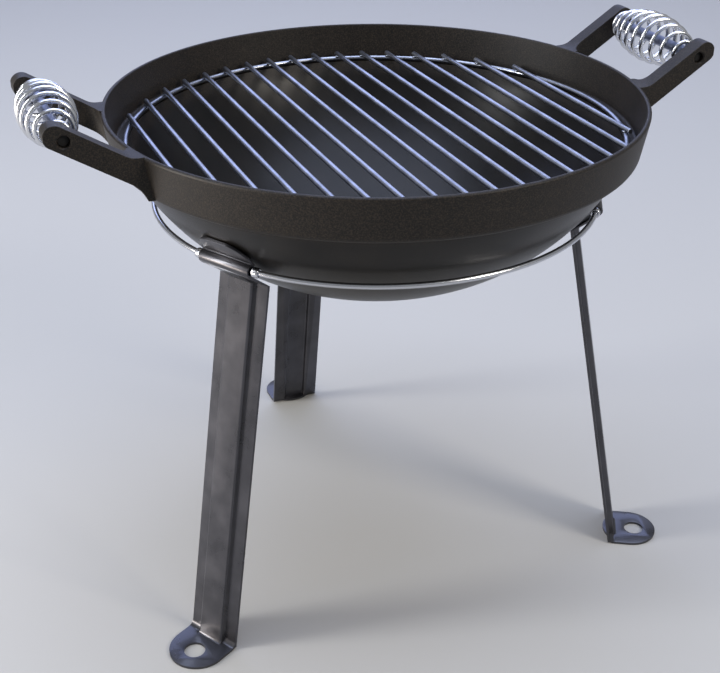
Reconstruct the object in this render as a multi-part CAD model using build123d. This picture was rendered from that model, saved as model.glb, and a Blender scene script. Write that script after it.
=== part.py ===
from build123d import *
import os
from math import atan2, cos, degrees, radians, sin, sqrt, tan

os.makedirs("parts", exist_ok=True)

# A round cast-iron fire bowl with a bar grate, on a ring stand with three hinged legs.
# Frame: origin on the floor below the middle of the bowl, +Z up, the two carrying
# handles on +X and -X, the grate bars along Y. Millimetres.

# Bowl casting
rim_radius = 200.0
rim_height = 377.0            # top of the rim above the floor
band_depth = 33.5             # upright band, from the rim down to its lower edge
band_foot_radius = 195.3
lip_inner_radius = 196.5
ledge_depth = 28.5            # ledge inside the band, which carries the grate
ledge_outer_radius = 192.5
shoulder_depth = 37.0
dish_arc_radius = 183.4       # outside of the dish, an arc round a circle of centres
dish_centre_radius = 20.0
dish_centre_rise = 45.2       # height of the arc's centre above the rim
dish_wall = 5.0
casting_round = 1.0

# Handle arms, cast on the bowl, and what they hold
arm_inner_y = 49.2
arm_thickness = 12.6
arm_slope = 32.4              # degrees above the horizontal
arm_height = 15.6             # measured square to the slope
arm_end_x = 244.6             # centre of the round end
arm_end_rise = 20.6           # that centre above the rim
arm_root_round = 9.0          # web between arm and band, seen from above
web_sink = 0.5                # its ends run into the band this deep
rod_x = 239.0
rod_radius = 4.0
rod_fit = 0.05
rod_recess = 3.5              # rod ends below the outer faces of the arms
hole_chamfer = 0.7
coil_wire_radius = 1.5
coil_mid_radius = 18.3        # to the middle of the wire
coil_end_radius = 6.6
coil_turns = 9
coil_end_gap = 0.7            # wire to arm

# Grate
bar_count = 17
bar_pitch = 20.66
bar_radius = 2.0
bar_reach = 187.5             # radius that the bar ends lie on
grate_ring_radius = 184.5
grate_clearance = 0.3         # grate ring above the ledge
weld_depth = 0.2              # bars sunk into the ring

# Ring stand
ring_radius = 167.5
ring_wire_radius = 2.0
ring_depth = 74.5             # ring below the rim
leg_angles = {"left": 210.0, "right": 330.0, "rear": 90.0}
leg_width = 44.0
sheet = 2.0
knuckle_wall = 1.5
knuckle_fit = 0.06            # least clearance between knuckle and ring
collar_radius = 3.6
collar_length = 5.0
collar_gap = 1.0
press = 0.05                  # overlap of a collar on the ring

# Leg strip: a hat section that leans out to its foot
foot_bend_radius_from_axis = 209.0    # outer face of the strip at the floor
strip_splay = 10.72                   # degrees from upright
strip_top_depth = 91.0                # below the rim
web_half_width = 10.8
web_foot_half_width = 11.9
web_raise = 4.2
tab_tangent_depth = 64.0      # where the tab touches the dish, below the rim
tab_gap = 0.35
tab_top = 11.8                # above the tangent point, along the tab
tab_corner = 15.0
foot_arc_centre = 221.0
foot_hole_radius = 8.0
foot_hole_centre = 225.0
foot_bend_web = 2.0
foot_bend_flange = 5.0

sagitta = ring_radius - sqrt(ring_radius**2 - (leg_width / 2) ** 2)
hinge_radius = ring_radius - sagitta / 2
knuckle_bore = ring_wire_radius + sagitta / 2 + knuckle_fit
knuckle_radius = knuckle_bore + knuckle_wall
hinge_height = rim_height - ring_depth
splay = radians(strip_splay)


def height(depth):
    """Height above the floor of a point that lies this far below the rim."""
    return rim_height - depth


def dish_arc(arc_radius, end_depth):
    """Arc of the dish in the XZ plane, from its flat bottom up to the given depth."""
    centre = (dish_centre_radius, height(-dish_centre_rise))
    rise = end_depth + dish_centre_rise
    end_angle = -degrees(atan2(rise, sqrt(arc_radius**2 - rise**2)))
    return CenterArc(centre, arc_radius, -90, end_angle + 90)


def inner_profile():
    """Hollow of the bowl: the space inside its walls, carried on above the rim."""
    inner_arc = dish_arc(dish_arc_radius - dish_wall, ledge_depth)
    bottom = inner_arc @ 0
    ledge = inner_arc @ 1
    edges = Polyline(
        (ledge.X, ledge.Y),
        (ledge_outer_radius, height(ledge_depth)),
        (lip_inner_radius, rim_height),
        (lip_inner_radius, rim_height + arm_end_rise),
        (0, rim_height + arm_end_rise),
        (0, bottom.Y),
        (bottom.X, bottom.Y),
    )
    return make_face([inner_arc, edges])


def outer_profile():
    outer_arc = dish_arc(dish_arc_radius, shoulder_depth)
    bottom = outer_arc @ 0
    shoulder = outer_arc @ 1
    edges = Polyline(
        (shoulder.X, shoulder.Y),
        (band_foot_radius, height(band_depth)),
        (rim_radius, rim_height),
        (0, rim_height),
        (0, bottom.Y),
        (bottom.X, bottom.Y),
    )
    face = make_face([outer_arc, edges])
    band_foot = face.vertices().sort_by_distance((band_foot_radius, height(band_depth), 0))[0]
    face = fillet(band_foot, 4.0)
    crease = face.vertices().sort_by_distance((shoulder.X, shoulder.Y, 0))[0]
    return fillet(crease, 5.0)


def wall_profile():
    wall = outer_profile() - inner_profile()
    lip = wall.vertices().sort_by_distance((lip_inner_radius, rim_height, 0))[0]
    return fillet(lip, casting_round)


def revolve_profile(face):
    return revolve(Plane.XZ * face, axis=Axis.Z)


def arm_side():
    """Side view of one arm on the +X side: a bar that rises from the band to a round end."""
    slope = radians(arm_slope)
    half = arm_height / 2
    end = (arm_end_x, height(-arm_end_rise))
    normal = (-sin(slope) * half, cos(slope) * half)
    top_end = (end[0] + normal[0], end[1] + normal[1])
    low_end = (end[0] - normal[0], end[1] - normal[1])
    top_root_x = top_end[0] - (top_end[1] - rim_height) / tan(slope)
    low_root = (194.0, low_end[1] - (low_end[0] - 194.0) * tan(slope))
    root_x = 182.0
    tip = (end[0] + half * cos(slope), end[1] + half * sin(slope))
    outline = Polyline(
        low_end,
        low_root,
        (187.0, height(31.0)),
        (root_x, height(31.0)),
        (root_x, rim_height),
        (top_root_x, rim_height),
        top_end,
    )
    end_arc = ThreePointArc(top_end, tip, low_end)
    face = make_face([outline, end_arc])
    top_root = face.vertices().sort_by_distance((top_root_x, rim_height, 0))[0]
    face = fillet(top_root, 14.0)
    low_corner = face.vertices().sort_by_distance((low_root[0], low_root[1], 0))[0]
    return fillet(low_corner, 6.0)


def make_arm():
    """One arm on +X, +Y, with its long edges rounded."""
    arm = extrude(Plane.XZ * arm_side(), amount=-arm_thickness)
    arm = fillet(arm.faces().sort_by(Axis.Y)[0].edges() + arm.faces().sort_by(Axis.Y)[-1].edges(), 1.2)
    return Pos(0, arm_inner_y, 0) * arm


def make_root_web():
    """Web that rounds the corner between the inner side of an arm and the band."""
    inside = rim_radius - web_sink
    strip = Pos(inside, arm_inner_y + arm_thickness / 2) * Rectangle(60, arm_thickness)
    plan = Circle(inside) + strip
    corner_x = sqrt(inside**2 - arm_inner_y**2)
    corner = plan.vertices().sort_by_distance((corner_x, arm_inner_y, 0))[0]
    plan = fillet(corner, arm_root_round)
    reach = 1.35 * arm_root_round
    plan &= Pos(corner_x + reach / 2 - 3, arm_inner_y - reach / 2) * Rectangle(reach + 6, reach)
    rise = arm_end_rise + band_depth
    lean = (rim_radius - band_foot_radius) / band_depth * rim_radius / corner_x
    web = Solid.extrude(plan.faces()[0], Vector(lean * rise, 0, rise))
    web = Pos(-lean * band_depth, 0, height(band_depth)) * web
    slab = extrude(Plane.XZ * arm_side(), amount=-reach)
    return web & (Pos(0, arm_inner_y - reach, 0) * slab)


def rod_hole():
    """Hole through both arms of one handle, with chamfered mouths."""
    outer_y = arm_inner_y + arm_thickness
    radius = rod_radius + rod_fit
    hole = Rot(90, 0, 0) * Cylinder(radius, 2 * outer_y + 10)
    for side in (1, -1):
        mouth = Cone(radius, radius + hole_chamfer * 2, hole_chamfer * 2)
        hole += Pos(0, side * outer_y, 0) * Rot(-90 * side, 0, 0) * mouth
    return Pos(rod_x, 0, rod_height()) * hole


def rod_height():
    return height(-arm_end_rise) + (rod_x - arm_end_x) * tan(radians(arm_slope))


def make_bowl():
    arm = make_arm() + make_root_web()
    arm -= revolve_profile(inner_profile())
    arms = [arm, mirror(arm, Plane.XZ)]
    arms += [mirror(one, Plane.YZ) for one in arms]
    bowl = revolve_profile(wall_profile()) + arms
    hole = rod_hole()
    return bowl - hole - mirror(hole, Plane.YZ)


def make_rod(side):
    length = 2 * (arm_inner_y + arm_thickness - rod_recess)
    rod = Rot(90, 0, 0) * Cylinder(rod_radius, length)
    rod = chamfer(rod.edges(), 0.5)
    return Pos(side * rod_x, 0, rod_height()) * rod


def coil_radius(along, half_length):
    """Radius of the barrel, to the middle of the wire, this far along from its middle."""
    return coil_mid_radius - (coil_mid_radius - coil_end_radius) * (along / half_length) ** 2


def make_coil(side):
    """Barrel-shaped coil of spring wire, wound in half turns that run into each other."""
    half_length = arm_inner_y - coil_end_gap - coil_wire_radius
    advance = half_length / coil_turns
    arcs = []
    for index in range(2 * coil_turns):
        hand = 1 if index % 2 == 0 else -1
        along = index * advance - half_length
        start = Vector(hand * coil_radius(along, half_length), along, 0)
        along += advance
        end = Vector(-hand * coil_radius(along, half_length), along, 0)
        crown = (start + end) / 2 + Vector(0, 0, hand * (end - start).length / 2)
        arcs.append(ThreePointArc(start, crown, end))
    path = Wire(arcs)
    section = Plane(origin=path @ 0, z_dir=path % 0) * Circle(coil_wire_radius)
    return Pos(side * rod_x, 0, rod_height()) * sweep(section, path=path)


def make_bar(offset):
    half_length = sqrt(bar_reach**2 - offset**2)
    bar = Rot(90, 0, 0) * Cylinder(bar_radius, 2 * half_length)
    bar = fillet(bar.edges().filter_by(GeomType.CIRCLE), 0.7)
    return Pos(offset, 0, bar_height()) * bar


def grate_ring_height():
    return height(ledge_depth) + grate_clearance + bar_radius


def bar_height():
    return grate_ring_height() + 2 * bar_radius - weld_depth


def make_grate_ring():
    return Pos(0, 0, grate_ring_height()) * Torus(grate_ring_radius, bar_radius)


def make_support_ring():
    return Pos(0, 0, hinge_height) * Torus(ring_radius, ring_wire_radius)


def make_collars(angle):
    """The two stop collars on the ring, one at each end of a leg's knuckle."""
    first = degrees((leg_width / 2 + collar_gap) / ring_radius)
    span = degrees(collar_length / ring_radius)
    section = Circle(collar_radius) - Circle(ring_wire_radius - press)
    section = Plane.XZ * (Pos(ring_radius, hinge_height) * section)
    collar = revolve(section, axis=Axis.Z, revolution_arc=span)
    before = Rot(0, 0, angle - first - span) * collar
    after = Rot(0, 0, angle + first) * collar
    return Compound(children=[before, after])


def hat_points(raise_height):
    """Corners of the strip's section: outer side first, then the inner side back."""
    half = leg_width / 2
    outer = [
        (-half, -raise_height),
        (-web_foot_half_width, -raise_height),
        (-web_half_width, 0),
        (web_half_width, 0),
        (web_foot_half_width, -raise_height),
        (half, -raise_height),
    ]
    inner = [
        (half, -raise_height - sheet),
        (web_foot_half_width - sheet, -raise_height - sheet),
        (web_half_width - sheet, -sheet),
        (-(web_half_width - sheet), -sheet),
        (-(web_foot_half_width - sheet), -raise_height - sheet),
        (-half, -raise_height - sheet),
    ]
    return outer + inner


def flat_points():
    """The same twelve corners with the section pressed flat, where the strip joins the knuckle."""
    flat = []
    for x, y in hat_points(web_raise):
        outer_side = y in (0, -web_raise)
        flat.append((x, 0 if outer_side else -sheet))
    return flat


def section_face(points):
    return make_face(Polyline(*points, close=True))


def strip_plane(z):
    """Plane square to the strip at height z, with its origin on the strip's outer face."""
    origin = (foot_bend_radius_from_axis - z * tan(splay), 0, z)
    return Plane(origin=origin, x_dir=(0, -1, 0), z_dir=(-sin(splay), 0, cos(splay)))


def make_strip():
    top = height(strip_top_depth)
    start = strip_plane(sheet)
    strip = extrude(start * section_face(hat_points(web_raise)), amount=(top - sheet) / cos(splay))
    return strip


def make_neck():
    """Run-out from the hat section to the flat edge that is rolled into the knuckle."""
    low = strip_plane(height(strip_top_depth)) * section_face(hat_points(web_raise))
    roll = radians(-70)
    reach = knuckle_radius - sheet / 2 + 0.55
    meet = (hinge_radius + reach * cos(roll), 0, hinge_height + reach * sin(roll))
    lean = radians(48)
    outward = (cos(lean) * sheet / 2, 0, -sin(lean) * sheet / 2)
    origin = (meet[0] + outward[0], 0, meet[2] + outward[2])
    top_plane = Plane(origin=origin, x_dir=(0, -1, 0), z_dir=(sin(lean), 0, cos(lean)))
    return loft([low, top_plane * section_face(flat_points())], ruled=True)


def tab_frame():
    """Plane of the tab's inner face: X is the tangent of the ring, Y runs up along the dish."""
    rise = tab_tangent_depth + dish_centre_rise
    slope = atan2(rise, sqrt(dish_arc_radius**2 - rise**2))
    reach = dish_arc_radius + tab_gap
    origin = (
        dish_centre_radius + reach * cos(slope),
        0,
        height(-dish_centre_rise) - reach * sin(slope),
    )
    return Plane(origin=origin, x_dir=(0, 1, 0), z_dir=(cos(slope), 0, -sin(slope)))


def make_tab():
    """Tab above the knuckle, which lies on the dish and carries the bowl."""
    frame = tab_frame()
    knuckle = frame.to_local_coords(Vector(hinge_radius, 0, hinge_height))
    bottom = knuckle.Y + 0.5
    tab_height = tab_top - bottom
    blank = Pos(0, bottom + tab_height / 2) * Rectangle(leg_width, tab_height)
    blank = fillet(blank.vertices().group_by(Axis.Y)[-1], tab_corner)
    tab = extrude(frame * blank, amount=sheet)
    root = Pos(0, knuckle.Y + 2.5) * Rectangle(leg_width, 4.0)
    root = extrude(frame * root, amount=knuckle.Z - knuckle_bore - 0.2)
    return tab + root


def make_bend(offset, half_inner, half_outer, inner_radius):
    """Bend from the strip to the foot over one stretch of the width, both sides alike."""
    lift = 24.0
    corner = foot_bend_radius_from_axis - offset / cos(splay)
    back = sheet / cos(splay)
    outline = Polyline(
        (corner - lift * tan(splay), lift),
        (corner - sheet * tan(splay), sheet),
        (foot_arc_centre, sheet),
        (foot_arc_centre, 0),
        (corner - back, 0),
        (corner - back - lift * tan(splay), lift),
        close=True,
    )
    face = make_face(outline)
    inside = face.vertices().sort_by_distance((corner - sheet * tan(splay), sheet, 0))[0]
    face = fillet(inside, inner_radius)
    outside = face.vertices().sort_by_distance((corner - back, 0, 0))[0]
    face = fillet(outside, inner_radius + sheet)
    bend = Pos(0, -half_inner, 0) * extrude(Plane.XZ * face, amount=half_outer - half_inner)
    return bend + mirror(bend, Plane.XZ)


def make_foot():
    blank = Pos(foot_arc_centre, 0) * Circle(leg_width / 2)
    straight = foot_arc_centre - foot_bend_radius_from_axis - 3.0
    blank += Pos(foot_arc_centre - straight / 2, 0) * Rectangle(straight, leg_width)
    return extrude(blank, amount=sheet)


def make_leg(angle):
    half = leg_width / 2
    knuckle = Pos(hinge_radius, 0, hinge_height) * Rot(90, 0, 0) * Cylinder(knuckle_radius, leg_width)
    leg = make_strip() + make_neck() + knuckle + make_tab() + make_foot()
    leg += make_bend(0, 0, web_half_width, foot_bend_web)
    leg += make_bend(web_raise, web_foot_half_width - 0.6, half, foot_bend_flange)
    bore = Pos(hinge_radius, 0, hinge_height) * Rot(90, 0, 0) * Cylinder(knuckle_bore, leg_width + 4)
    hole = Pos(foot_hole_centre, 0, sheet / 2) * Cylinder(foot_hole_radius, 3 * sheet)
    return Rot(0, 0, angle) * (leg - bore - hole)


def save(shape, name):
    export_step(shape, f"parts/{name}.step")


save(make_bowl(), "bowl")
for name, side in (("left", -1), ("right", 1)):
    save(make_rod(side), f"{name}_handle_rod")
    save(make_coil(side), f"{name}_grip_coil")
save(make_grate_ring(), "grate_ring")
for index in range(bar_count):
    save(make_bar((index - bar_count // 2) * bar_pitch), f"grate_bar_{index + 1:02d}")
save(make_support_ring(), "support_ring")
for name, angle in leg_angles.items():
    save(make_collars(angle), f"ring_collars_{name}")
    save(make_leg(angle), f"leg_{name}")
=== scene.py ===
import math

import bmesh
import bpy
from mathutils import Matrix, Vector


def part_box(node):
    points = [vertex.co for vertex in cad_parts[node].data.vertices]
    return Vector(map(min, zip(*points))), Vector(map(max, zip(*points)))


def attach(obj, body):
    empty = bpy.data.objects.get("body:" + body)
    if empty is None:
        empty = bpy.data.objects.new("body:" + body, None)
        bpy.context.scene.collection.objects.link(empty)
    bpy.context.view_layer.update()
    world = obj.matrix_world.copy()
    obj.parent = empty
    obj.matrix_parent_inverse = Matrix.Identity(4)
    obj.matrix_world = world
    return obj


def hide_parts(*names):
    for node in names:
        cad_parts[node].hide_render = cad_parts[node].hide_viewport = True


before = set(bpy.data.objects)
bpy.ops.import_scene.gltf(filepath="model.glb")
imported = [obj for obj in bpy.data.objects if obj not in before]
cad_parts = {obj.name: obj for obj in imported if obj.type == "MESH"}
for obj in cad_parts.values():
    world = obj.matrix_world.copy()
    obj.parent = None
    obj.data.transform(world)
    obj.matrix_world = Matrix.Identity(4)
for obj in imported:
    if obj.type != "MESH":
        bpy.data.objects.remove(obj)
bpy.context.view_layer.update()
print("frame loaded")

millimetre = 0.001
mergeReach = 0.001 * millimetre         # vertices this close are one
touchReach = 0.01 * millimetre          # a vertex this close lies on the plane or point
bowlBottomDepth = 138.2 * millimetre    # from the rim down to the outside of the dish
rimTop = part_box("bowl")[0][2] + bowlBottomDepth


def deselectAll():
    if bpy.context.object and bpy.context.object.mode != "OBJECT":
        bpy.ops.object.mode_set(mode="OBJECT")
    bpy.ops.object.select_all(action="DESELECT")


def makeActive(piece):
    deselectAll()
    piece.select_set(True)
    bpy.context.view_layer.objects.active = piece


# materials

def hexToLinear(code):
    def channel(pair):
        value = int(pair, 16) / 255
        return value / 12.92 if value <= 0.04045 else ((value + 0.055) / 1.055) ** 2.4
    return tuple(channel(code[i:i + 2]) for i in (1, 3, 5)) + (1.0,)


def addNode(material, kind, settings=None, links=None):
    # settings go to a property or, by name or number, to an input socket; links join sockets
    tree = material.node_tree
    node = tree.nodes.new(kind)
    for key, value in (settings or {}).items():
        if isinstance(key, str) and hasattr(node, key):
            setattr(node, key, value)
        else:
            node.inputs[key].default_value = value
    for key, source in (links or {}).items():
        tree.links.new(source, node.inputs[key])
    return node


def startMaterial(name):
    material = bpy.data.materials.new(name)
    material.use_nodes = True
    material.node_tree.nodes.clear()
    return material


def setRamp(ramp, stops):
    elements = ramp.color_ramp.elements
    while len(elements) < len(stops):
        elements.new(0.5)
    for element, (position, colour) in zip(elements, stops):
        element.position = position
        element.color = colour


def finishMaterial(material, shader):
    output = addNode(material, "ShaderNodeOutputMaterial")
    material.node_tree.links.new(shader.outputs[0], output.inputs["Surface"])
    return material


castIronLook = {
    "dark": "#0d0c0b",
    "light": "#181512",
    "speck": "#3b332b",         # rust-brown grain on the band
    "speckFrom": 0.44,          # share of the grain pattern where specks begin
    "speckFull": 0.68,
    "speckAmount": 0.7,
    "grainMm": 1.0,             # sand-cast grain, drawn a little coarse so that it shows
    "grainDepthMm": 0.22,
    "blotchMm": 28.0,           # uneven oil seasoning
    "bandRoughness": 0.50,
    "dishRoughness": 0.34,
    "roughnessSpread": 0.16,
    "bandBump": 0.6,
    "dishBump": 0.15,
    "bandDownToMm": 34.0,       # below the rim: band finish down to here,
    "dishUpToMm": 40.0,         # dish finish up to here, and a change between them
    "ior": 1.5,
    "specular": 0.26,
}


def makeCastIron():
    # sand-cast grey iron, oil seasoned: near black, with a fine pitted grain on the band
    look = castIronLook
    material = startMaterial("seasoned sand-cast iron")
    place = addNode(material, "ShaderNodeTexCoord").outputs["Object"]
    grain = addNode(material, "ShaderNodeTexNoise",
                    {"Scale": 1 / (look["grainMm"] * millimetre), "Detail": 3.0, "Roughness": 0.6},
                    {"Vector": place})
    blotch = addNode(material, "ShaderNodeTexNoise",
                     {"Scale": 1 / (look["blotchMm"] * millimetre), "Detail": 4.0,
                      "Roughness": 0.55},
                     {"Vector": place})
    blotchRamp = addNode(material, "ShaderNodeValToRGB", {}, {"Fac": blotch.outputs["Fac"]})
    setRamp(blotchRamp, [(0.3, hexToLinear(look["dark"])), (0.75, hexToLinear(look["light"]))])
    parts = addNode(material, "ShaderNodeSeparateXYZ", {}, {"Vector": place})
    # 0 on the dish, which came out of the mould smoother, and 1 on the band
    band = addNode(material, "ShaderNodeMapRange",
                   {"From Min": rimTop - look["dishUpToMm"] * millimetre,
                    "From Max": rimTop - look["bandDownToMm"] * millimetre},
                   {"Value": parts.outputs["Z"]})
    rough = addNode(material, "ShaderNodeMix",
                    {"data_type": "FLOAT", "A": look["dishRoughness"],
                     "B": look["bandRoughness"]},
                    {"Factor": band.outputs["Result"]})
    roughNoise = addNode(material, "ShaderNodeMath",
                         {"operation": "MULTIPLY_ADD", 1: look["roughnessSpread"],
                          2: -look["roughnessSpread"] / 2},
                         {0: grain.outputs["Fac"]})
    roughSum = addNode(material, "ShaderNodeMath", {"operation": "ADD", "use_clamp": True},
                       {0: rough.outputs["Result"], 1: roughNoise.outputs[0]})
    strength = addNode(material, "ShaderNodeMapRange",
                       {"To Min": look["dishBump"], "To Max": look["bandBump"]},
                       {"Value": band.outputs["Result"]})
    bump = addNode(material, "ShaderNodeBump", {"Distance": look["grainDepthMm"] * millimetre},
                   {"Height": grain.outputs["Fac"], "Strength": strength.outputs["Result"]})
    specks = addNode(material, "ShaderNodeMapRange",
                     {"From Min": look["speckFrom"], "From Max": look["speckFull"],
                      "To Max": look["speckAmount"]},
                     {"Value": grain.outputs["Fac"]})
    onBand = addNode(material, "ShaderNodeMath", {"operation": "MULTIPLY"},
                     {0: specks.outputs["Result"], 1: band.outputs["Result"]})
    colour = addNode(material, "ShaderNodeMix",
                     {"data_type": "RGBA", 7: hexToLinear(look["speck"])},
                     {0: onBand.outputs[0], 6: blotchRamp.outputs["Color"]})
    shader = addNode(material, "ShaderNodeBsdfPrincipled",
                     {"IOR": look["ior"], "Specular IOR Level": look["specular"]},
                     {"Base Color": colour.outputs[2], "Roughness": roughSum.outputs[0],
                      "Normal": bump.outputs["Normal"]})
    return finishMaterial(material, shader)


springLook = {"colour": "#d5d7dc", "roughness": 0.16, "lineMm": 0.6}
ringLook = {"colour": "#c6c8ce", "roughness": 0.18, "lineMm": 0.8}
wireFinish = {"lineDepthMm": 0.03, "lineBump": 0.25, "smoother": 0.75, "rougher": 1.4}


def makeBrightWire(name, look):
    # nickel-plated steel wire: bright and mirror-like, with faint drawing lines
    material = startMaterial(name)
    place = addNode(material, "ShaderNodeTexCoord").outputs["Object"]
    lines = addNode(material, "ShaderNodeTexNoise",
                    {"Scale": 1 / (look["lineMm"] * millimetre), "Detail": 2.0},
                    {"Vector": place})
    rough = addNode(material, "ShaderNodeMapRange",
                    {"From Min": 0.3, "From Max": 0.7,
                     "To Min": look["roughness"] * wireFinish["smoother"],
                     "To Max": look["roughness"] * wireFinish["rougher"]},
                    {"Value": lines.outputs["Fac"]})
    bump = addNode(material, "ShaderNodeBump",
                   {"Distance": wireFinish["lineDepthMm"] * millimetre,
                    "Strength": wireFinish["lineBump"]},
                   {"Height": lines.outputs["Fac"]})
    shader = addNode(material, "ShaderNodeBsdfPrincipled",
                     {"Base Color": hexToLinear(look["colour"]), "Metallic": 1.0},
                     {"Roughness": rough.outputs["Result"], "Normal": bump.outputs["Normal"]})
    return finishMaterial(material, shader)


grateLook = {
    "dark": "#8d919b",
    "light": "#a9adb8",
    "roughness": 0.32,
    "smoother": 0.8,
    "rougher": 1.25,
    "markMm": 0.35,             # width of a draw mark
    "markStretch": 0.04,        # draw marks are drawn out along the bars, which lie along Y
    "markDepthMm": 0.04,
    "markBump": 0.3,
    "blotchMm": 14.0,
}


def makeGrateSteel():
    # plain drawn steel rod: satin, with long draw marks and an uneven grey
    look = grateLook
    material = startMaterial("satin drawn steel rod")
    place = addNode(material, "ShaderNodeTexCoord").outputs["Object"]
    marks = addNode(material, "ShaderNodeMapping", {"Scale": (1.0, look["markStretch"], 1.0)},
                    {"Vector": place})
    lines = addNode(material, "ShaderNodeTexNoise",
                    {"Scale": 1 / (look["markMm"] * millimetre), "Detail": 3.0},
                    {"Vector": marks.outputs["Vector"]})
    blotch = addNode(material, "ShaderNodeTexNoise",
                     {"Scale": 1 / (look["blotchMm"] * millimetre), "Detail": 3.0},
                     {"Vector": place})
    ramp = addNode(material, "ShaderNodeValToRGB", {}, {"Fac": blotch.outputs["Fac"]})
    setRamp(ramp, [(0.3, hexToLinear(look["dark"])), (0.7, hexToLinear(look["light"]))])
    rough = addNode(material, "ShaderNodeMapRange",
                    {"From Min": 0.3, "From Max": 0.7,
                     "To Min": look["roughness"] * look["smoother"],
                     "To Max": look["roughness"] * look["rougher"]},
                    {"Value": lines.outputs["Fac"]})
    bump = addNode(material, "ShaderNodeBump",
                   {"Distance": look["markDepthMm"] * millimetre, "Strength": look["markBump"]},
                   {"Height": lines.outputs["Fac"]})
    shader = addNode(material, "ShaderNodeBsdfPrincipled", {"Metallic": 1.0},
                     {"Base Color": ramp.outputs["Color"], "Roughness": rough.outputs["Result"],
                      "Normal": bump.outputs["Normal"]})
    return finishMaterial(material, shader)


rodLook = {
    "dark": "#5a6070",
    "light": "#7c8398",
    # near black on the rod's ends: painted shade inside the arms' holes, not a colour of the steel
    "end": "#0b0b0c",
    "roughness": 0.38,
    "endRoughness": 0.8,
    "endMetal": 0.2,
    "holeShadeStartMm": 52.0,         # from the middle of the rod
    "blotchMm": 9.0,
}


def makeRodSteel():
    # oil-blued steel rod: blue-grey under the coil; where it sits in the arms its ends are painted
    # near black and dull, as painted shade of the dark holes
    look = rodLook
    material = startMaterial("oil-blued steel handle rod")
    place = addNode(material, "ShaderNodeTexCoord").outputs["Object"]
    blotch = addNode(material, "ShaderNodeTexNoise",
                     {"Scale": 1 / (look["blotchMm"] * millimetre), "Detail": 3.0},
                     {"Vector": place})
    ramp = addNode(material, "ShaderNodeValToRGB", {}, {"Fac": blotch.outputs["Fac"]})
    setRamp(ramp, [(0.3, hexToLinear(look["dark"])), (0.7, hexToLinear(look["light"]))])
    parts = addNode(material, "ShaderNodeSeparateXYZ", {}, {"Vector": place})
    away = addNode(material, "ShaderNodeMath", {"operation": "ABSOLUTE"},
                   {0: parts.outputs["Y"]})
    start = look["holeShadeStartMm"] * millimetre
    # mask of the rod's ends inside the arms, which take the painted hole shade, a duller roughness
    # and less metal
    end = addNode(material, "ShaderNodeMapRange",
                  {"From Min": start, "From Max": start + millimetre},
                  {"Value": away.outputs[0]})
    colour = addNode(material, "ShaderNodeMix",
                     {"data_type": "RGBA", 7: hexToLinear(look["end"])},
                     {0: end.outputs["Result"], 6: ramp.outputs["Color"]})
    rough = addNode(material, "ShaderNodeMapRange",
                    {"To Min": look["roughness"], "To Max": look["endRoughness"]},
                    {"Value": end.outputs["Result"]})
    metal = addNode(material, "ShaderNodeMapRange",
                    {"To Min": 1.0, "To Max": look["endMetal"]},
                    {"Value": end.outputs["Result"]})
    shader = addNode(material, "ShaderNodeBsdfPrincipled", {},
                     {"Base Color": colour.outputs[2], "Roughness": rough.outputs["Result"],
                      "Metallic": metal.outputs["Result"]})
    return finishMaterial(material, shader)


legPaintLook = {
    "dark": "#434347",
    "light": "#525257",
    "roughness": 0.30,
    "smoother": 0.05,           # taken off the roughness in the smoothest patches
    "rougher": 0.08,            # added to it in the roughest
    "peelMm": 1.6,              # orange peel of stoved paint
    "peelDepthMm": 0.08,
    "peelBump": 0.25,
    "blotchMm": 22.0,
    "metallic": 0.85,
    "coat": 0.2,
}


def makeLegPaint():
    # stoved heat-resistant paint on pressed sheet steel: dark satin grey, faint orange peel
    look = legPaintLook
    material = startMaterial("stoved grey paint on sheet steel")
    place = addNode(material, "ShaderNodeTexCoord").outputs["Object"]
    peel = addNode(material, "ShaderNodeTexNoise",
                   {"Scale": 1 / (look["peelMm"] * millimetre), "Detail": 2.0}, {"Vector": place})
    blotch = addNode(material, "ShaderNodeTexNoise",
                     {"Scale": 1 / (look["blotchMm"] * millimetre), "Detail": 4.0},
                     {"Vector": place})
    ramp = addNode(material, "ShaderNodeValToRGB", {}, {"Fac": blotch.outputs["Fac"]})
    setRamp(ramp, [(0.3, hexToLinear(look["dark"])), (0.7, hexToLinear(look["light"]))])
    rough = addNode(material, "ShaderNodeMapRange",
                    {"From Min": 0.3, "From Max": 0.7,
                     "To Min": look["roughness"] - look["smoother"],
                     "To Max": look["roughness"] + look["rougher"]},
                    {"Value": blotch.outputs["Fac"]})
    bump = addNode(material, "ShaderNodeBump",
                   {"Distance": look["peelDepthMm"] * millimetre, "Strength": look["peelBump"]},
                   {"Height": peel.outputs["Fac"]})
    shader = addNode(material, "ShaderNodeBsdfPrincipled",
                     {"Metallic": look["metallic"], "Coat Weight": look["coat"]},
                     {"Base Color": ramp.outputs["Color"], "Roughness": rough.outputs["Result"],
                      "Normal": bump.outputs["Normal"]})
    return finishMaterial(material, shader)


castIron = makeCastIron()
springWire = makeBrightWire("nickel-plated spring wire", springLook)
ringWire = makeBrightWire("nickel-plated ring rod", ringLook)
grateSteel = makeGrateSteel()
rodSteel = makeRodSteel()
legPaint = makeLegPaint()
print("materials made")

# the CAD pieces that stay as they are
for name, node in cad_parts.items():
    if name == "support_ring":
        finish = ringWire
    elif name.startswith("grate_"):
        finish = grateSteel
    elif name.endswith("_handle_rod"):
        finish = rodSteel
    else:
        continue
    node.data.materials.clear()
    node.data.materials.append(finish)
print("CAD pieces finished")


# helpers for shaping

def editMode(piece):
    makeActive(piece)
    bpy.ops.object.mode_set(mode="EDIT")


def selectVertices(piece, test):
    # in edit mode: selects the vertices whose place passes the test
    mesh = bmesh.from_edit_mesh(piece.data)
    for vertex in mesh.verts:
        vertex.select_set(test(vertex.co))
    mesh.select_flush(True)
    bmesh.update_edit_mesh(piece.data)


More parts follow.
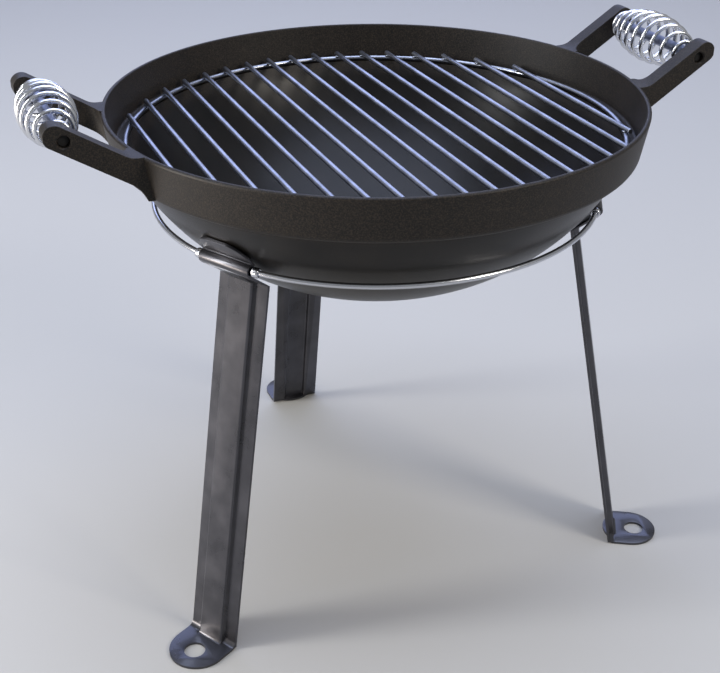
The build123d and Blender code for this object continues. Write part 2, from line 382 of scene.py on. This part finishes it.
def applyModifier(piece, kind, **settings):
    makeActive(piece)
    modifier = piece.modifiers.new(kind, kind)
    for key, value in settings.items():
        setattr(modifier, key, value)
    bpy.ops.object.modifier_apply(modifier=modifier.name)


def smoothByAngle(piece, degrees):
    makeActive(piece)
    bpy.ops.object.shade_smooth_by_angle(angle=math.radians(degrees))


flatAngle = 0.2         # degrees between triangles that are one flat face


def mergedCopy(node, name):
    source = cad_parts[node]
    piece = source.copy()
    piece.data = source.data.copy()
    piece.name = name
    piece.parent = None
    piece.matrix_world = Matrix.Identity(4)
    bpy.context.collection.objects.link(piece)
    editMode(piece)
    bpy.ops.mesh.customdata_custom_splitnormals_clear()
    bpy.ops.mesh.select_all(action="SELECT")
    bpy.ops.mesh.remove_doubles(threshold=mergeReach)
    bpy.ops.mesh.dissolve_limited(angle_limit=math.radians(flatAngle))
    bpy.ops.object.mode_set(mode="OBJECT")
    return piece


def dress(piece, finish, body, node):
    piece.data.materials.clear()
    piece.data.materials.append(finish)
    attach(piece, body)
    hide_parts(node)


# bowl casting

bowlShape = {
    "rimRadius": 200.0,
    "lipInner": 196.5,
    "bandFootRadius": 194.4,
    "bandDepth": 31.6,
    "bandFootRound": 3.0,
    "ledgeOuter": 192.5,
    "ledgeDepth": 28.5,
    "shoulderDepth": 35.5,
    "dishArc": 183.4,
    "dishCentre": 20.0,
    "dishRise": 45.2,
    "dishWall": 5.0,
    "lipOuterRound": 2.2,
    "lipInnerRound": 0.9,
    "ledgeRound": 2.0,
    "roundSegments": 4,
    "steps": 216,           # round the rim
    "arcSteps": 30,
    "smoothAngle": 32,
}


def dishPoints(arcRadius, endDepth):
    # from the flat bottom up to the given depth, as radius and depth pairs
    shape = bowlShape
    rise = endDepth + shape["dishRise"]
    endAngle = math.asin(rise / arcRadius)
    points = []
    for index in range(shape["arcSteps"] + 1):
        angle = math.pi / 2 + (endAngle - math.pi / 2) * index / shape["arcSteps"]
        points.append((shape["dishCentre"] + arcRadius * math.cos(angle),
                       arcRadius * math.sin(angle) - shape["dishRise"]))
    return points


def bowlProfile():
    # closed on the axis at both ends: outside from the bottom up, over the lip, inside and down
    shape = bowlShape
    outside = dishPoints(shape["dishArc"], shape["shoulderDepth"])
    inside = dishPoints(shape["dishArc"] - shape["dishWall"], shape["ledgeDepth"])
    inside.reverse()
    band = [(shape["bandFootRadius"], shape["bandDepth"]), (shape["rimRadius"], 0.0),
            (shape["lipInner"], 0.0), (shape["ledgeOuter"], shape["ledgeDepth"])]
    points = [(0.0, outside[0][1])] + outside + band + inside + [(0.0, inside[-1][1])]
    return [Vector((radius * millimetre, 0.0, rimTop - depth * millimetre))
            for radius, depth in points]


def tracePath(name, points):
    # one vertex, extruded from point to point
    deselectAll()
    bpy.ops.mesh.primitive_plane_add(size=millimetre, location=(0, 0, 0))
    piece = bpy.context.object
    piece.name = name
    bpy.ops.object.mode_set(mode="EDIT")
    bpy.ops.mesh.select_all(action="SELECT")
    bpy.ops.mesh.merge(type="CENTER")
    bpy.ops.transform.translate(value=points[0])
    for before, after in zip(points, points[1:]):
        bpy.ops.mesh.extrude_region_move(TRANSFORM_OT_translate={"value": after - before})
    return piece


def nearPoint(target, reach):
    return lambda place: (place - target).length < reach


def makeBowlBody():
    shape = bowlShape
    piece = tracePath("bowlCasting", bowlProfile())
    rounds = [
        (shape["bandFootRadius"], shape["bandDepth"], shape["bandFootRound"]),
        (shape["rimRadius"], 0.0, shape["lipOuterRound"]),
        (shape["lipInner"], 0.0, shape["lipInnerRound"]),
        (shape["ledgeOuter"], shape["ledgeDepth"], shape["ledgeRound"]),
    ]
    for radius, depth, size in rounds:
        corner = Vector((radius * millimetre, 0.0, rimTop - depth * millimetre))
        selectVertices(piece, nearPoint(corner, touchReach))
        bpy.ops.mesh.bevel(offset=size * millimetre, segments=shape["roundSegments"],
                           affect="VERTICES")
    bpy.ops.mesh.select_all(action="SELECT")
    bpy.ops.mesh.spin(steps=shape["steps"], angle=2 * math.pi, center=(0, 0, 0),
                      axis=(0, 0, 1))
    bpy.ops.mesh.select_all(action="SELECT")
    bpy.ops.mesh.remove_doubles(threshold=mergeReach)
    bpy.ops.mesh.normals_make_consistent(inside=False)
    bpy.ops.object.mode_set(mode="OBJECT")
    return piece


armShape = {
    "innerY": 49.2,
    "outerY": 61.8,
    "slope": 32.4,
    "height": 15.6,
    "endX": 244.6,
    "endRise": 20.6,
    "rootRadius": 198.0,    # the arm's root lies inside the band's wall
    "rootDrop": 0.05,       # the arm's top starts this far below the lip
    "topRound": 14.0,       # where the top leaves the rim
    "flareStart": 198.5,    # the underside turns down to the band from here
    "flareRound": 22.0,
    "flareEnd": 0.5,        # and stops this far above the band's foot
    "webRound": 9.0,        # web in the inner corner
    "webStart": 205.4,
    "edgeRound": 1.1,
    "edgeSegments": 3,
    "edgeAngle": 55,        # degrees: sharper edges are rounded
    "flatAngle": 0.3,
    "tipHalf": 2.4,         # half height of the small flat that closes the round end
    "stations": 56,
    "tipCrowding": 1.25,    # stations stand closer together towards the round end
}
holeShape = {"x": 239.0, "radius": 4.05, "mouthRadius": 4.9, "mouthDepth": 0.8, "steps": 48}


def armTop(x):
    # height above the rim of the arm's upper surface
    shape = armShape
    slope = math.radians(shape["slope"])
    half = shape["height"] / 2
    cornerX = shape["endX"] - half * math.sin(slope)
    if x > cornerX:
        return shape["endRise"] + math.sqrt(max(half ** 2 - (x - shape["endX"]) ** 2, 0.0))
    line = shape["endRise"] + half * math.cos(slope) + (x - cornerX) * math.tan(slope)
    reach = shape["topRound"] * math.tan(slope / 2)
    leaveX = x - (line / math.tan(slope))
    if x <= leaveX - reach:
        return -shape["rootDrop"]
    if x < leaveX + reach * math.cos(slope):
        return shape["topRound"] - math.sqrt(shape["topRound"] ** 2 - (x - leaveX + reach) ** 2)
    return line


def armLow(x):
    # height above the rim of the arm's underside
    shape = armShape
    slope = math.radians(shape["slope"])
    half = shape["height"] / 2
    cornerX = shape["endX"] + half * math.sin(slope)
    if x > cornerX:
        return shape["endRise"] - math.sqrt(max(half ** 2 - (x - shape["endX"]) ** 2, 0.0))
    line = shape["endRise"] - half * math.cos(slope) + (x - cornerX) * math.tan(slope)
    if x >= shape["flareStart"]:
        return line
    centreX = shape["flareStart"] + shape["flareRound"] * math.sin(slope)
    startRise = line + (shape["flareStart"] - x) * math.tan(slope)
    centreRise = startRise - shape["flareRound"] * math.cos(slope)
    across = max(shape["flareRound"] ** 2 - (x - centreX) ** 2, 0.0)
    return max(centreRise + math.sqrt(across), shape["flareEnd"] - bowlShape["bandDepth"])


bandLean = (bowlShape["rimRadius"] - bowlShape["bandFootRadius"]) / bowlShape["bandDepth"]


def armInner(x, z):
    # the web's arc, which follows the lean of the band
    shape = armShape
    reach = shape["webStart"] - x + bandLean * min(z, 0.0)
    into = min(max(reach, 0.0), shape["webRound"])
    drop = shape["webRound"] - math.sqrt(shape["webRound"] ** 2 - into ** 2)
    return shape["innerY"] - drop


def makeArm(sideX, sideY):
    # a block in stations along X, each moved to the arm's section there
    shape = armShape
    deselectAll()
    bpy.ops.mesh.primitive_cube_add(size=2.0)
    arm = bpy.context.object
    bpy.ops.object.mode_set(mode="EDIT")
    mesh = bmesh.from_edit_mesh(arm.data)
    for edge in mesh.edges:
        along = edge.verts[0].co - edge.verts[1].co
        edge.select_set(abs(along.x) > 1.0)
    bmesh.update_edit_mesh(arm.data)
    bpy.ops.mesh.subdivide(number_cuts=shape["stations"])
    mesh = bmesh.from_edit_mesh(arm.data)
    tipX = shape["endX"] + math.sqrt((shape["height"] / 2) ** 2 - shape["tipHalf"] ** 2)
    for vertex in mesh.verts:
        share = (vertex.co.x + 1) / 2
        upper = vertex.co.z > 0
        outer = vertex.co.y > 0
        rootY = shape["outerY"] if outer else shape["innerY"] - shape["webRound"]
        rootX = math.sqrt(shape["rootRadius"] ** 2 - rootY ** 2)
        if not upper:
            rootX -= bandLean * bowlShape["bandDepth"]
        x = rootX + (tipX - rootX) * (1 - (1 - share) ** shape["tipCrowding"])
        z = armTop(x) if upper else armLow(x)
        y = shape["outerY"] if outer else armInner(x, z)
        vertex.co = Vector((sideX * x, sideY * y, z)) * millimetre + Vector((0, 0, rimTop))
    bmesh.update_edit_mesh(arm.data)
    bpy.ops.mesh.select_all(action="SELECT")
    bpy.ops.mesh.normals_make_consistent(inside=False)
    bpy.ops.object.mode_set(mode="OBJECT")
    applyModifier(arm, "BEVEL", width=shape["edgeRound"] * millimetre,
                  segments=shape["edgeSegments"], limit_method="ANGLE",
                  angle_limit=math.radians(shape["edgeAngle"]))
    editMode(arm)
    bpy.ops.mesh.select_all(action="SELECT")
    bpy.ops.mesh.dissolve_limited(angle_limit=math.radians(shape["flatAngle"]))
    bpy.ops.object.mode_set(mode="OBJECT")
    return arm


def rodRise():
    # height of the handle rods above the rim
    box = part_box("right_handle_rod")
    return (box[0][2] + box[1][2]) / 2 - rimTop


def drillArm(arm, sideX, sideY):
    # the hole for the rod, with a wide mouth on the outer side
    shape = holeShape
    steps = shape["steps"]
    outer, inner = armShape["outerY"], armShape["innerY"]
    rings = [(outer, shape["mouthRadius"]), (outer - shape["mouthDepth"], shape["radius"]),
             (inner, shape["radius"])]
    angles = [2 * math.pi * index / steps for index in range(steps)]
    editMode(arm)
    mesh = bmesh.from_edit_mesh(arm.data)
    loops = []
    for y, radius in rings:
        centre = Vector((sideX * shape["x"] * millimetre, sideY * y * millimetre,
                         rimTop + rodRise()))
        loops.append([])
        for angle in angles:
            spoke = Vector((math.cos(angle), 0, math.sin(angle)))
            loops[-1].append(mesh.verts.new(centre + radius * millimetre * spoke))
    for first, second in zip(loops, loops[1:]):
        for index in range(steps):
            mesh.faces.new((first[index - 1], first[index], second[index], second[index - 1]))
    # each side face of the arm is filled again, round its ring
    for loop, y in ((loops[0], outer), (loops[-1], inner)):
        sideLine = sideY * y * millimetre
        flat = [face for face in mesh.faces
                if all(abs(vertex.co.y - sideLine) < touchReach for vertex in face.verts)]
        side = max(flat, key=lambda face: face.calc_area())
        ring = [mesh.edges.get((loop[index - 1], loop[index])) for index in range(steps)]
        border = list(side.edges) + ring
        mesh.faces.remove(side)
        bmesh.ops.triangle_fill(mesh, use_beauty=True, edges=border, normal=(0, sideY, 0))
    bmesh.update_edit_mesh(arm.data)
    bpy.ops.mesh.select_all(action="SELECT")
    bpy.ops.mesh.normals_make_consistent(inside=False)
    bpy.ops.object.mode_set(mode="OBJECT")


def makeBowl():
    piece = makeBowlBody()
    for sideX in (1, -1):
        for sideY in (1, -1):
            arm = makeArm(sideX, sideY)
            drillArm(arm, sideX, sideY)
            makeActive(piece)
            arm.select_set(True)
            bpy.ops.object.join()
    smoothByAngle(piece, bowlShape["smoothAngle"])
    applyModifier(piece, "WEIGHTED_NORMAL", keep_sharp=True)
    dress(piece, castIron, "bowl", "bowl")
    print("bowl made")


makeBowl()


# grip coils

coilShape = {
    "wire": 1.62,           # radius of the wire
    "middle": 18.3,         # radius of the barrel, to the middle of the wire
    "end": 6.6,             # the same at the two ends
    "turns": 9,
    "halfLength": 47.0,
    "pointsPerTurn": 28,
    "wireRounding": 4,      # bevel steps round a quarter of the wire
    "smoothAngle": 50,
}


def coilPoint(share, side):
    # the barrel narrows as a parabola towards both ends
    shape = coilShape
    along = (2 * share - 1) * shape["halfLength"]
    radius = shape["middle"] - (shape["middle"] - shape["end"]) * (2 * share - 1) ** 2
    angle = 2 * math.pi * shape["turns"] * share
    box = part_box(side + "_handle_rod")
    centre = Vector([(low + high) / 2 for low, high in zip(*box)])
    offset = Vector((radius * math.cos(angle), along, radius * math.sin(angle)))
    return centre + offset * millimetre


def makeCoil(side):
    shape = coilShape
    curve = bpy.data.curves.new(side + "GripCoil", "CURVE")
    curve.dimensions = "3D"
    curve.bevel_depth = shape["wire"] * millimetre
    curve.bevel_resolution = shape["wireRounding"]
    curve.use_fill_caps = True
    spline = curve.splines.new("POLY")
    count = shape["turns"] * shape["pointsPerTurn"]
    spline.points.add(count)
    for index, point in enumerate(spline.points):
        point.co = (*coilPoint(index / count, side), 1.0)
    coil = bpy.data.objects.new(side + "GripCoil", curve)
    bpy.context.collection.objects.link(coil)
    makeActive(coil)
    bpy.ops.object.convert(target="MESH")
    coil = bpy.context.object
    editMode(coil)
    bpy.ops.mesh.select_all(action="SELECT")
    bpy.ops.mesh.remove_doubles(threshold=mergeReach)
    bpy.ops.mesh.normals_make_consistent(inside=False)
    bpy.ops.object.mode_set(mode="OBJECT")
    smoothByAngle(coil, shape["smoothAngle"])
    dress(coil, springWire, side + "_grip", side + "_grip_coil")


for side in ("left", "right"):
    makeCoil(side)
print("coils made")


# weld beads where the bars cross the grate ring

weldShape = {
    "radius": 2.7,
    "squash": 0.5,          # height of the bead against its width
    "topFrom": 0.5,         # the top begins at this share of the height
    "topShrink": 0.8,
    "segments": 14,
    "rings": 8,
    "smoothAngle": 60,
}


def makeWelds():
    shape = weldShape
    ringLow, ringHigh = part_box("grate_ring")
    rodRadius = (ringHigh[2] - ringLow[2]) / 2
    ringRadius = (ringHigh[0] - ringLow[0]) / 2 - rodRadius
    deselectAll()
    bpy.ops.mesh.primitive_uv_sphere_add(segments=shape["segments"], ring_count=shape["rings"],
                                         radius=shape["radius"] * millimetre)
    bead = bpy.context.object
    editMode(bead)
    bpy.ops.mesh.select_all(action="SELECT")
    bpy.ops.transform.resize(value=(1, 1, shape["squash"]))
    top = shape["topFrom"] * shape["squash"] * shape["radius"] * millimetre
    selectVertices(bead, lambda place: abs(place.z) > top)
    bpy.ops.transform.resize(value=(shape["topShrink"], shape["topShrink"], 1),
                             center_override=(0, 0, 0))
    bpy.ops.object.mode_set(mode="OBJECT")
    beads = []
    for name in sorted(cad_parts):
        if not name.startswith("grate_bar"):
            continue
        low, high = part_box(name)
        x = (low[0] + high[0]) / 2
        for side in (1, -1):
            y = side * math.sqrt(ringRadius ** 2 - x ** 2)
            copy = bead.copy()
            copy.data = bead.data.copy()
            copy.data.transform(Matrix.Translation((x, y, ringHigh[2])))
            bpy.context.collection.objects.link(copy)
            beads.append(copy)
    bpy.data.objects.remove(bead)
    deselectAll()
    for copy in beads:
        copy.select_set(True)
    bpy.context.view_layer.objects.active = beads[0]
    bpy.ops.object.join()
    piece = bpy.context.object
    piece.name = "grateWelds"
    piece.data.materials.append(grateSteel)
    smoothByAngle(piece, shape["smoothAngle"])
    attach(piece, "grate")


makeWelds()
print("welds made")


# legs and ring collars

legShape = {
    "bendRound": 1.3,       # the two long bends of the pressed channel
    "bendReach": 13.0,      # they lie this close to the leg's middle line
    "bendLength": 200.0,    # and are taller than this
    "bendAngle": 30,
    "bendSegments": 3,
    "sheetEdge": 0.35,      # all other sharp edges
    "sheetEdgeAngle": 50,
    "sheetEdgeSegments": 2,
    "smoothAngle": 35,
}
collarShape = {"round": 1.1, "roundAngle": 60, "roundSegments": 4, "smoothAngle": 40}


def legDirection(node):
    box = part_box(node)
    middle = Vector([(low + high) / 2 for low, high in zip(*box)])
    return Vector((middle.x, middle.y, 0)).normalized()


def makeLeg(side):
    shape = legShape
    node = "leg_" + side
    piece = mergedCopy(node, side + "Leg")
    tangent = Vector((0, 0, 1)).cross(legDirection(node))
    editMode(piece)
    mesh = bmesh.from_edit_mesh(piece.data)
    reach = shape["bendReach"] * millimetre
    for edge in mesh.edges:
        inReach = all(abs(vertex.co.dot(tangent)) < reach for vertex in edge.verts)
        rise = abs(edge.verts[0].co.z - edge.verts[1].co.z)
        tall = rise > shape["bendLength"] * millimetre
        bent = edge.calc_face_angle(0.0) > math.radians(shape["bendAngle"])
        edge.select_set(inReach and tall and bent)
    bmesh.update_edit_mesh(piece.data)
    bpy.ops.mesh.bevel(offset=shape["bendRound"] * millimetre, segments=shape["bendSegments"],
                       affect="EDGES")
    bpy.ops.object.mode_set(mode="OBJECT")
    applyModifier(piece, "BEVEL", width=shape["sheetEdge"] * millimetre,
                  segments=shape["sheetEdgeSegments"], limit_method="ANGLE",
                  angle_limit=math.radians(shape["sheetEdgeAngle"]))
    smoothByAngle(piece, shape["smoothAngle"])
    dress(piece, legPaint, side + "_leg", node)


def makeCollars(side):
    shape = collarShape
    node = "ring_collars_" + side
    piece = mergedCopy(node, side + "RingCollars")
    applyModifier(piece, "BEVEL", width=shape["round"] * millimetre,
                  segments=shape["roundSegments"], limit_method="ANGLE",
                  angle_limit=math.radians(shape["roundAngle"]))
    smoothByAngle(piece, shape["smoothAngle"])
    dress(piece, ringWire, "stand", node)


for side in ("left", "right", "rear"):
    makeLeg(side)
    makeCollars(side)
print("legs made")


# floor, lights and camera

floorLook = {"size": 9.0, "colour": "#a9a8a4", "roughness": 0.9}


def makeFloor():
    deselectAll()
    bpy.ops.mesh.primitive_plane_add(size=floorLook["size"], location=(0, 0, 0))
    floor = bpy.context.object
    floor.name = "studioFloor"
    material = startMaterial("matt white floor paint")
    shader = addNode(material, "ShaderNodeBsdfPrincipled",
                     {"Base Color": hexToLinear(floorLook["colour"]),
                      "Roughness": floorLook["roughness"]})
    floor.data.materials.append(finishMaterial(material, shader))


def aimAt(item, target):
    direction = Vector(target) - item.location
    item.rotation_euler = direction.to_track_quat("-Z", "Y").to_euler()


# places and sizes in metres, powers in watts
softboxes = [
    {"name": "overheadLight", "place": (0.2, 0.3, 2.6), "size": (2.4, 2.4),
     "power": 72.0, "tint": "#cdd9f8"},
    {"name": "leftStrip", "place": (-2.3, 0.5, 1.15), "size": (0.5, 1.8),
     "power": 52.0, "tint": "#ffffff"},
    {"name": "frontKey", "place": (1.3, -2.0, 1.7), "size": (0.8, 0.8),
     "power": 38.0, "tint": "#fff7ec"},
    {"name": "backSky", "place": (0.7, 2.2, 1.5), "size": (3.0, 1.2),
     "power": 26.0, "tint": "#b4c3fb"},
    {"name": "lowStrip", "place": (-1.45, 0.15, 0.22), "size": (0.9, 0.4),
     "power": 13.0, "tint": "#fff1e2"},
]
studioAir = {"tint": "#f2f4f8", "strength": 0.36, "lightsAimAt": (0, 0, 0.25)}


def makeLights():
    for box in softboxes:
        data = bpy.data.lights.new(box["name"], "AREA")
        data.shape = "RECTANGLE"
        data.size, data.size_y = box["size"]
        data.color = hexToLinear(box["tint"])[:3]
        data.energy = box["power"]
        lamp = bpy.data.objects.new(box["name"], data)
        bpy.context.collection.objects.link(lamp)
        lamp.location = box["place"]
        lamp.visible_camera = False
        aimAt(lamp, studioAir["lightsAimAt"])
    world = bpy.data.worlds.new("studioAir")
    world.use_nodes = True
    background = world.node_tree.nodes["Background"]
    background.inputs["Color"].default_value = hexToLinear(studioAir["tint"])
    background.inputs["Strength"].default_value = studioAir["strength"]
    bpy.context.scene.world = world


cameraLook = {
    "place": (-0.3559, -0.8245, 0.6665),
    "turn": (61.24, 0.04, -22.625),     # degrees
    "lens": 62.9,
    "sensor": 36.0,
}


def makeCamera():
    data = bpy.data.cameras.new("studioCamera")
    data.lens = cameraLook["lens"]
    data.sensor_width = cameraLook["sensor"]
    camera = bpy.data.objects.new("studioCamera", data)
    bpy.context.collection.objects.link(camera)
    camera.location = cameraLook["place"]
    camera.rotation_euler = [math.radians(angle) for angle in cameraLook["turn"]]
    bpy.context.scene.camera = camera
    bpy.context.scene.view_settings.view_transform = "Standard"


makeFloor()
makeLights()
makeCamera()
print("studio ready")
